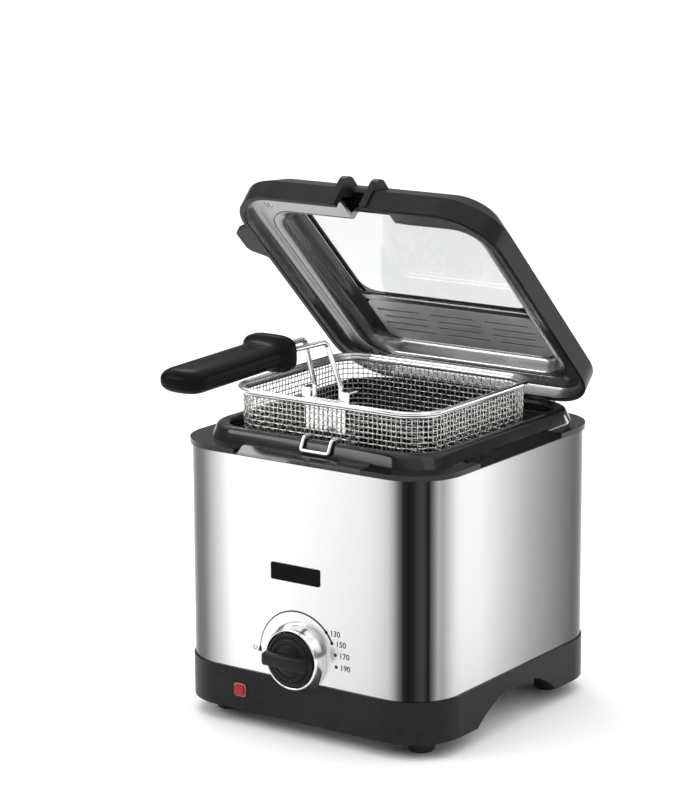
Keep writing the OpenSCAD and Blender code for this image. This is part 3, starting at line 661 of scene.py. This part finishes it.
# how far a wire runs inside the grip, and where it bends: behind the grip and below its own root there
IN_GRIP = 40 * MM
BEND_BEHIND = 45.1 * MM
BEND_BELOW = 0.5 * MM
GRIP_TILT = radians(1.5)


def grip_root():
    """The right-hand wire's place where it enters the grip."""
    low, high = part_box("handle_wires")
    return Vector((GRIP_GAP, low.y + IN_GRIP, high.z - HANDLE_WIRE))


def handle_wires():
    """Two bent wires from the bracket to the grip."""
    low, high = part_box("handle_wires")
    root = grip_root()
    foot = Vector((high.x - HANDLE_WIRE, high.y - HANDLE_WIRE, low.z))
    knee = foot + Vector((0, 0, 18 * MM))
    bend = Vector((BEND_GAP, root.y + BEND_BEHIND, root.z - BEND_BELOW))
    inside = IN_GRIP - 2 * MM
    tip = root + Vector((0, -inside, -inside * tan(GRIP_TILT)))
    for side, name, replaced in ((-1, "left", ["handle_wires"]), (1, "right", [])):
        corners = [Vector((side * p.x, p.y, p.z)) for p in (foot, knee, bend, root, tip)]
        path = rounded_path(corners, 6 * MM, 12)
        add_wire("handle_wire_" + name, path, HANDLE_WIRE, "basket", replaced, 20)


# distance from the grip's root, half width, height above and below the parting line, in mm, and squareness
GRIP_SECTIONS = (
    (0.0, 17.7, 10.5, 10.2, 3.4), (0.6, 18.8, 11.6, 11.2, 3.4), (1.5, 19.15, 11.86, 11.5, 3.4),
    (6.0, 19.15, 11.86, 11.5, 3.4), (7.2, 18.9, 11.5, 11.2, 3.3), (9.0, 17.9, 10.2, 10.1, 3.2),
    (11.0, 16.8, 9.0, 9.0, 3.1), (13.5, 16.0, 8.1, 8.1, 3.0), (17.0, 15.75, 7.76, 7.76, 3.0),
    (50.0, 15.75, 7.76, 7.76, 3.0), (88.0, 15.75, 7.76, 7.76, 3.0), (92.5, 15.4, 7.45, 7.45, 2.9),
    (96.0, 14.2, 6.6, 6.6, 2.7), (98.3, 12.2, 5.2, 5.2, 2.5), (99.6, 9.0, 3.2, 3.2, 2.3),
    (100.2, 4.5, 1.2, 1.2, 2.0),
)
PARTING_GAP = 0.1


def half_oval(half_w, half_h, power, steps=32):
    """(across, up) points of the upper half of an oval; a power above 2 makes it squarer."""
    points = []
    for k in range(steps + 1):
        c, s = cos(pi * k / steps), sin(pi * k / steps)
        across = half_w * (abs(c) ** (2 / power)) * (1 if c >= 0 else -1)
        points.append((across, half_h * (s ** (2 / power)) if s > 1e-9 else 0.0))
    return points


def grip():
    """Two moulded halves: a flared guard by the basket, a flat palm and a rounded end."""
    root = grip_root()
    root.x = 0
    along = Vector((0, -cos(GRIP_TILT), -sin(GRIP_TILT)))
    up = Vector((0, -sin(GRIP_TILT), cos(GRIP_TILT)))
    right = Vector((1, 0, 0))
    for side, name, node in ((1, "grip_top", "grip_upper"), (-1, "grip_bottom", "grip_lower")):
        rows = []
        for t, half_w, above, below, power in GRIP_SECTIONS:
            oval = half_oval(half_w, above if side > 0 else below, power)
            rows.append([root + (along * t + right * across * side + up * side * (PARTING_GAP + height)) * MM
                         for across, height in oval])
        points, faces = skin(rows)
        keep_edges(add_piece(name, points, faces, "basket", "grip_black", [node]), 40)


# ---------------------------------------------------------------- body


# the oil pot's flange reaches this far beyond its opening, all round
POT_FLANGE = 4 * MM
POT_CORNER = 24 * MM
RIM_CORNER = 29 * MM


def rim_roll():
    """The glossy rim around the pot: sloping outside, rolled crest, upright inside."""
    low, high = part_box("rim_ring")
    pot_low, pot_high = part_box("oil_pot")
    # width, depth, corner radius and middle of the ring's two edges
    outside = (high.x - low.x, high.y - low.y, RIM_CORNER, (low.y + high.y) / 2)
    opening = (pot_high.x - pot_low.x - 2 * POT_FLANGE, pot_high.y - pot_low.y - 2 * POT_FLANGE,
               POT_CORNER, (pot_low.y + pot_high.y) / 2)
    # inset from the outside and height above the ledge, in mm
    deepest = 11.2
    profile = [(0.0, 0.0), (0.3, 0.9), (2.4, 5.6), (3.0, 7.2), (3.9, 8.5), (5.1, 9.2), (6.6, 9.5),
               (8.3, 9.45), (9.7, 9.1), (10.6, 8.4), (11.1, 7.3), (deepest, 6.0), (deepest, 2.8),
               (10.0, 2.6), (4.0, 2.6), (3.6, 0.0)]
    rows = []
    for inset, z in profile:
        w, d, r, y = [a + (b - a) * inset / deepest for a, b in zip(outside, opening)]
        rows.append(rounded_rectangle(w, d, r, low.z + z * MM, y, 20))
    points, faces = skin(rows, loop=True)
    rim = add_piece("rim_roll", points, faces, "housing", "gloss_black", ["rim_ring"])
    keep_edges(rim, 50)


def drain_hook():
    """Bent wire over the front of the rim, which the basket hangs from to drain."""
    low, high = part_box("drain_hook")
    _, rim_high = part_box("rim_ring")
    radius = 1.3 * MM
    inner, outer = high.y - radius, low.y + radius
    top = high.z - radius
    side = [(inner, rim_high.z - 7 * MM), (inner, top), (inner - 8.4 * MM, top), (outer, low.z + radius)]
    left, right = low.x + radius, high.x - radius
    corners = [Vector((left, y, z)) for y, z in side] + [Vector((right, y, z)) for y, z in reversed(side)]
    add_wire("hook_loop", rounded_path(corners, 1.6 * MM, 8), radius, "housing", ["drain_hook"], 16)


def level_marks():
    """Two short raised lines inside the pot show how far the oil may come."""
    low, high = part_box("oil_pot")
    wall = high.y - POT_FLANGE
    half_w, half_h = 9 * MM, 0.5 * MM
    for name, height in (("low", 45), ("high", 68)):
        z = low.z + height * MM
        corners = ((-half_w, z - half_h), (half_w, z - half_h), (half_w, z + half_h), (-half_w, z + half_h))
        rows = [[Vector((x, wall - proud, z)) for x, z in corners] for proud in (-0.2 * MM, 0.35 * MM)]
        points, faces = skin(rows)
        mark = add_piece("level_mark_" + name, points, faces, "housing", "nonstick")
        bevel(mark, 0.12 * MM).harden_normals = True


# ---------------------------------------------------------------- knob and dial


def knob_origin():
    """The middle of the knob's back face."""
    _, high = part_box("control_knob")
    return Vector((KNOB_AXIS.x, high.y, KNOB_AXIS.z))


def knob_disc():
    """A stepped disc with a ring groove."""
    # radius and height above the back face, in mm
    profile = [(7.0, 0.0), (16.2, 0.0), (16.4, 0.3), (16.4, 0.8), (17.4, 0.8), (18.0, 1.2), (18.2, 1.8),
               (18.2, 6.2), (18.0, 7.0), (17.4, 7.7), (16.6, 8.0), (15.9, 8.0), (15.5, 7.7), (15.3, 7.4),
               (15.0, 7.4), (14.7, 7.8), (14.5, 8.4), (14.0, 8.9), (13.4, 9.1), (11.2, 9.1), (10.9, 8.8),
               (10.5, 8.8), (10.2, 9.1), (3.0, 9.3), (0.05, 9.35)]
    points, faces = skin(facing_front(turned(profile), knob_origin()))
    disc = add_piece("knob_disc", points, faces, "knob", "black_plastic", ["control_knob"])
    keep_edges(disc, 50)


def knob_bar():
    """The bar that fingers turn, its ends following the disc."""
    low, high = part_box("control_knob")
    radius = (high.x - low.x) / 2
    width = 9.2 * MM
    steps = 10
    rows = []
    # inset from the bar's outline and height above the knob's back face, in mm
    for inset, h in ((0.0, 7.2), (0.0, 11.2), (0.25, 13.2), (0.7, 14.5), (1.4, 15.2), (2.4, 15.5)):
        half_l, half_w = radius - inset * MM, width / 2 - 0.8 * inset * MM
        outline = []
        for end in (1, -1):
            for i in range(steps + 1):
                across = (-1 + 2 * i / steps) * end
                y = across * half_w
                bow = radius - sqrt(radius * radius - y * y)
                corner = 0.9 * MM * (max(0.0, abs(across) - 0.7) / 0.3) ** 2
                outline.append(Vector((end * (half_l - bow - corner), y, h * MM)))
        rows.append(outline)
    points, faces = skin(facing_front(rows, knob_origin()))
    keep_edges(add_piece("knob_bar", points, faces, "knob", "black_plastic"), 40)


INK = 0.05 * MM
DIAL_RADIUS = 30.5


def on_steel(x, z):
    """A place on the front of the steel, x and z mm from the knob's axis."""
    front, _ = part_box("steel_wrap")
    return Vector((KNOB_AXIS.x + x * MM, front.y, KNOB_AXIS.z + z * MM))


def printed(name, outline):
    """A thin layer of ink on the front of the steel; the outline is (x, z) about the knob's axis, in mm."""
    rows = [[on_steel(x, z) - Vector((0, h, 0)) for x, z in outline] for h in (-INK, INK)]
    points, faces = skin(rows)
    keep_edges(add_piece(name, points, faces, "housing", "print"), 40)


def arc_band(radius, start, end, width, steps, taper):
    """Outline of an arc, whose width at its start is the taper's share of its full width."""
    outer, inner = [], []
    for i in range(steps + 1):
        a = radians(start + (end - start) * i / steps)
        half = width / 2 * (taper + (1 - taper) * i / steps)
        outer.append(((radius + half) * cos(a), (radius + half) * sin(a)))
        inner.append(((radius - half) * cos(a), (radius - half) * sin(a)))
    return outer + inner[::-1]


def dial_print():
    """Scale arc, off mark and temperatures beside the knob."""
    left = -DIAL_RADIUS
    printed("dial_arc", arc_band(DIAL_RADIUS, 182, 27, 1.5, 40, 0.3))
    printed("dial_tick", [(left - 1.8, -1.6), (left + 1.2, -1.6), (left + 0.6, 2.2), (left - 0.6, 2.2)])
    # a small open ring, the sign for off
    printed("dial_off", [(left - 4.2 + x, 0.4 + z) for x, z in arc_band(1.4, 120, 420, 0.5, 24, 1.0)])
    for number, angle in (("130", 42), ("150", 27), ("170", 12), ("190", -3)):
        x, z = DIAL_RADIUS * cos(radians(angle)), DIAL_RADIUS * sin(radians(angle))
        printed("dial_dot_" + number, circle(x, z, 1.25, 20))
        add_number(number, on_steel(x + 3.0, z - 1.7))


def add_number(number, corner):
    """Figures 4 mm tall, turned into a mesh that stands just proud of the steel."""
    name = "dial_number_" + number
    curve = bpy.data.curves.new(name + "_outline", "FONT")
    curve.body = number
    curve.size = 5.4 * MM
    curve.extrude = INK
    curve.offset = 0.09 * MM
    curve.resolution_u = 4
    holder = bpy.data.objects.new(name + "_outline", curve)
    scene.collection.objects.link(holder)
    mesh = finished_mesh(holder)
    bpy.data.objects.remove(holder)
    mesh.transform(Matrix.Translation(corner) @ Matrix.Rotation(pi / 2, 4, "X"))
    mesh.materials.clear()
    mesh.materials.append(FINISH["print"])
    piece = bpy.data.objects.new(name, mesh)
    scene.collection.objects.link(piece)
    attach(piece, "housing")


def finished_mesh(holder):
    """A mesh of what the object looks like with its modifiers."""
    bpy.context.view_layer.update()
    return bpy.data.meshes.new_from_object(holder.evaluated_get(bpy.context.evaluated_depsgraph_get()))


# ---------------------------------------------------------------- lid


def as_open(x, y, z):
    """A point of the shut lid, in mm from the hinge's axis, turned to where the lid stands at rest."""
    turn = Matrix.Rotation(radians(JOINTS["lid_hinge"]["range_deg"][0]), 3, "X")
    return PIVOT + turn @ (Vector((x, y, z)) * MM)


def lid_ring(half_w, front, back, corner, height):
    """A rounded rectangle of the shut lid, in mm; front, back and height are from the hinge's axis."""
    ring = rounded_rectangle(2 * half_w, back - front, corner, height, (front + back) / 2, 16)
    return [as_open(*p) for p in ring]


# rings of the liner's surface: half width, front, back, corner radius and height, in mm
LINER_OUTSIDE = [
    (99.6, -217.4, -9.2, 34.6, -2.9), (99.45, -217.2, -9.3, 34.4, -2.8), (99.1, -216.9, -9.35, 34.1, -1.2),
    (98.1, -215.9, -9.4, 33.1, 1.0), (96.2, -214.0, -9.5, 31.5, 3.3), (93.7, -211.5, -9.6, 29.0, 4.6),
    (91.0, -208.5, -9.8, 26.5, 5.0), (86.9, -194.0, -23.0, 22.8, 5.0), (86.6, -193.7, -23.3, 22.5, 5.8),
    (86.1, -193.2, -23.8, 22.1, 5.8), (85.8, -192.9, -24.1, 21.9, 4.9),
]
LINER_BACK = [
    (68.4, -186.4, -28.7, 12.4, 17.6), (68.4, -186.4, -28.7, 12.4, 18.3), (71.0, -189.0, -27.0, 16.0, 18.4),
    (81.5, -193.4, -23.4, 20.5, 14.0), (88.0, -196.0, -21.0, 24.0, 7.2), (99.2, -217.0, -9.3, 34.2, 6.8),
    (99.45, -217.2, -9.25, 34.45, 1.0),
]
# the slope runs from the dish's outline to the well's: share of the way, and height
LINER_DISH = (86.0, -193.0, -24.0, 22.0)
LINER_WELL = (70.0, -188.0, -28.0, 15.0)
LINER_SLOPE = (
    (0.06, 4.9), (0.12, 5.05), (0.22, 5.45), (0.34, 6.1), (0.44, 6.9), (0.47, 7.3), (0.485, 8.2), (0.50, 8.4),
    (0.53, 10.4), (0.58, 12.4), (0.66, 14.2), (0.76, 15.6), (0.88, 16.5), (0.96, 16.8), (1.0, 17.2),
)


def prism(outline, low_z, high_z):
    """Points and faces of a prism of the shut lid, turned to rest; the outline is (x, y) in mm."""
    return skin([[as_open(x, y, z) for x, y in outline] for z in (low_z, high_z)])


def lid_liner():
    """Pressed sheet inside the lid: soft fillet, flat band, groove, bright slope, step, dark hollow, lip."""
    slope = [(*(a + (b - a) * share for a, b in zip(LINER_DISH, LINER_WELL)), z) for share, z in LINER_SLOPE]
    points, faces = skin([lid_ring(*ring) for ring in LINER_OUTSIDE + slope + LINER_BACK], loop=True)
    liner_sheet = add_piece("lid_liner", points, faces, "lid", "liner", ["lid_inner_frame"])
    cuts = Bundle()
    # way for the handle's wires and the drain hook
    cuts.add(*prism(((-14, -232), (20, -232), (20, -190), (-14, -190)), -8, 15))
    # the four screw holes
    for x in (-79, 79):
        for y in (-199.5, -23.5):
            cuts.add(*prism(circle(x, y, 3.3, 24), 2.0, 6.3))
    cut_away(liner_sheet, cuts)
    keep_edges(liner_sheet, 32)


def liner_bar():
    """The narrow bar between the window and the filter plate."""
    points, faces = prism(((-69, -80.2), (69, -80.2), (69, -74.8), (-69, -74.8)), 17.2, 18.4)
    bevel(add_piece("liner_bar", points, faces, "lid", "liner"), 0.4 * MM).harden_normals = True


def cut_away(piece, bundle):
    """Subtracts the bundle's solids from the piece."""
    mesh = bpy.data.meshes.new("cutter")
    mesh.from_pydata([tuple(p) for p in bundle.points], [], bundle.faces)
    cutter = bpy.data.objects.new("cutter", mesh)
    scene.collection.objects.link(cutter)
    step = piece.modifiers.new("cut", "BOOLEAN")
    step.operation = "DIFFERENCE"
    step.object = cutter
    result = finished_mesh(piece)
    piece.modifiers.clear()
    piece.data = result
    bpy.data.objects.remove(cutter)


# ---------------------------------------------------------------- studio


# the camera's place, as angles round the point that it looks at and the distance from it
AIM = Vector((-0.0358, -0.0068, 0.2044))
DISTANCE = 1.94598
AZIMUTH, ELEVATION, ROLL = radians(35.3162), radians(12.6717), radians(-0.2752)
LENS = 129.795
# the sky's shades: sine of the elevation, share of full brightness
SKY = ((0.0, 0.30), (0.06, 0.14), (0.35, 0.16), (0.62, 0.75), (1.0, 1.0))
SKY_STRENGTH = 1.8
FLOOR_REACH = 80.0
# what the lights point at
LIT_POINT = Vector((0, 0, 0.18))
# name, place, width, height and power in watts
SOFTBOXES = (
    ("key", (-1.15, -1.35, 1.05), 0.9, 0.6, 11),
    ("left", (-1.1, 0.95, 1.55), 0.6, 0.6, 5),
    ("fill", (1.5, -0.5, 1.1), 0.8, 1.2, 3),
    ("strip", (1.1, 1.5, 0.38), 1.6, 0.12, 5),
)


def add_camera():
    """A long lens from the front right, a little above."""
    data = bpy.data.cameras.new("camera")
    camera = bpy.data.objects.new("camera", data)
    scene.collection.objects.link(camera)
    back = Vector((sin(AZIMUTH) * cos(ELEVATION), -cos(AZIMUTH) * cos(ELEVATION), sin(ELEVATION)))
    right = Vector((0, 0, 1)).cross(back).normalized()
    up = back.cross(right)
    turn = Matrix((right, up, back)).transposed() @ Matrix.Rotation(ROLL, 3, "Z")
    camera.matrix_world = Matrix.Translation(AIM + back * DISTANCE) @ turn.to_4x4()
    data.sensor_width = 36
    data.lens = LENS
    data.clip_end = 200
    scene.camera = camera


def add_sky():
    """A dim horizon under a bright ceiling, as in a studio tent."""
    world = bpy.data.worlds.new("studio")
    world.use_nodes = True
    tree = world.node_tree
    coordinates = tree.nodes.new("ShaderNodeTexCoord")
    split = tree.nodes.new("ShaderNodeSeparateXYZ")
    tree.links.new(coordinates.outputs["Generated"], split.inputs[0])
    shade = many_ramp(tree, split.outputs["Z"], [(height, (grey, grey, grey)) for height, grey in SKY])
    shade.color_ramp.interpolation = "EASE"
    background = tree.nodes["Background"]
    tree.links.new(shade.outputs["Color"], background.inputs["Color"])
    background.inputs["Strength"].default_value = SKY_STRENGTH
    scene.world = world


def add_floor():
    """Plain pale paper that runs out of sight."""
    reach = FLOOR_REACH
    mesh = bpy.data.meshes.new("floor")
    mesh.from_pydata([(-reach, -reach, 0), (reach, -reach, 0), (reach, reach, 0), (-reach, reach, 0)],
                     [], [(0, 1, 2, 3)])
    mesh.materials.append(studio_floor())
    floor = bpy.data.objects.new("floor", mesh)
    scene.collection.objects.link(floor)


def softbox(name, position, width, height, power):
    """A soft area light aimed at the middle of the object."""
    light = bpy.data.lights.new(name, "AREA")
    light.shape = "RECTANGLE"
    light.size, light.size_y = width, height
    light.energy = power
    lamp = bpy.data.objects.new(name, light)
    scene.collection.objects.link(lamp)
    lamp.location = position
    lamp.rotation_euler = (LIT_POINT - lamp.location).to_track_quat("-Z", "Y").to_euler()


FINISH = make_finishes()
finish_nodes()
woven_basket()
basket_band()
handle_wires()
grip()
rim_roll()
drain_hook()
level_marks()
knob_disc()
knob_bar()
dial_print()
lid_liner()
liner_bar()
add_camera()
add_sky()
add_floor()
for row in SOFTBOXES:
    softbox(*row)
scene.view_settings.view_transform = "Standard"
